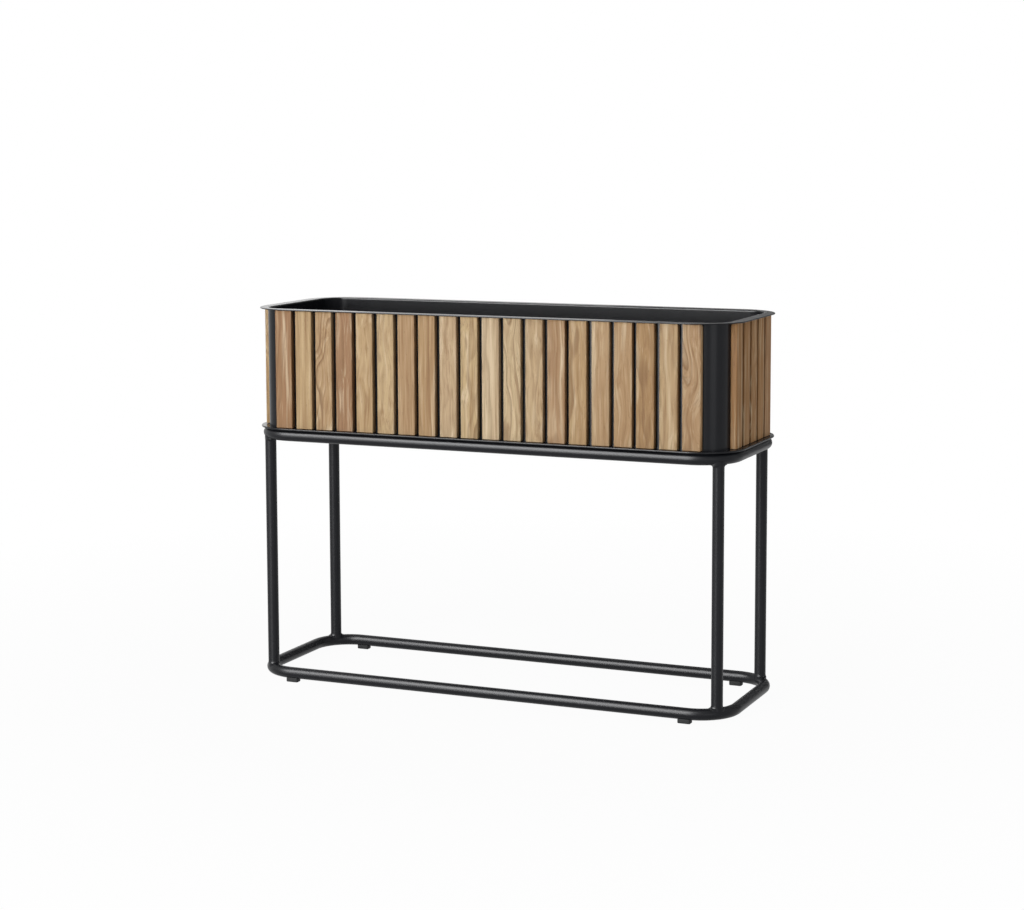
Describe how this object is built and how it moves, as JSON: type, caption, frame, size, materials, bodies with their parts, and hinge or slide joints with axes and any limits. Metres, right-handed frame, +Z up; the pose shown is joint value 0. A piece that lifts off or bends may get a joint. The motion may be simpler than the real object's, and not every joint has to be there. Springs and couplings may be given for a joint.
{
  "type": "planter with base",
  "caption": "Long planter box with rounded corners, clad in upright teak slats between flat metal flanges, standing on an open welded base of round tube.",
  "frame": {"origin": "on the floor, under the middle of the planter", "axes": "+X along the planter's length to the right, +Y from its front to its rear, +Z up"},
  "size_m": [0.906, 0.306, 0.6713],
  "materials": {
    "black_powder_coat": "satin powder coat, fine texture",
    "teak": "bare sanded teak, vertical grain",
    "black_nylon": "matt moulded nylon"
  },
  "bodies": {
    "base": {"lower_frame_loop": "black_powder_coat", "upper_frame_loop": "black_powder_coat", "leg_front_left": "black_powder_coat", "leg_front_right": "black_powder_coat", "leg_rear_left": "black_powder_coat", "leg_rear_right": "black_powder_coat", "foot_glides": "black_nylon"},
    "planter_box": {"floor_plate": "black_powder_coat", "planter_wall": "black_powder_coat", "top_rim": "black_powder_coat", "front_slat_01": "teak", "front_slat_02": "teak", "front_slat_03": "teak", "front_slat_04": "teak", "front_slat_05": "teak", "front_slat_06": "teak", "front_slat_07": "teak", "front_slat_08": "teak", "front_slat_09": "teak", "front_slat_10": "teak", "front_slat_11": "teak", "front_slat_12": "teak", "front_slat_13": "teak", "front_slat_14": "teak", "front_slat_15": "teak", "front_slat_16": "teak", "front_slat_17": "teak", "front_slat_18": "teak", "front_slat_19": "teak", "front_slat_20": "teak", "rear_slat_01": "teak", "rear_slat_02": "teak", "rear_slat_03": "teak", "rear_slat_04": "teak", "rear_slat_05": "teak", "rear_slat_06": "teak", "rear_slat_07": "teak", "rear_slat_08": "teak", "rear_slat_09": "teak", "rear_slat_10": "teak", "rear_slat_11": "teak", "rear_slat_12": "teak", "rear_slat_13": "teak", "rear_slat_14": "teak", "rear_slat_15": "teak", "rear_slat_16": "teak", "rear_slat_17": "teak", "rear_slat_18": "teak", "rear_slat_19": "teak", "rear_slat_20": "teak", "left_end_slat_01": "teak", "left_end_slat_02": "teak", "left_end_slat_03": "teak", "left_end_slat_04": "teak", "left_end_slat_05": "teak", "right_end_slat_01": "teak", "right_end_slat_02": "teak", "right_end_slat_03": "teak", "right_end_slat_04": "teak", "right_end_slat_05": "teak"}
  },
  "joints": [
    {"name": "box_lift", "type": "slide", "parent": "base", "child": "planter_box", "axis": [0, 0, 1], "range_m": [0, 0.12]}
  ]
}
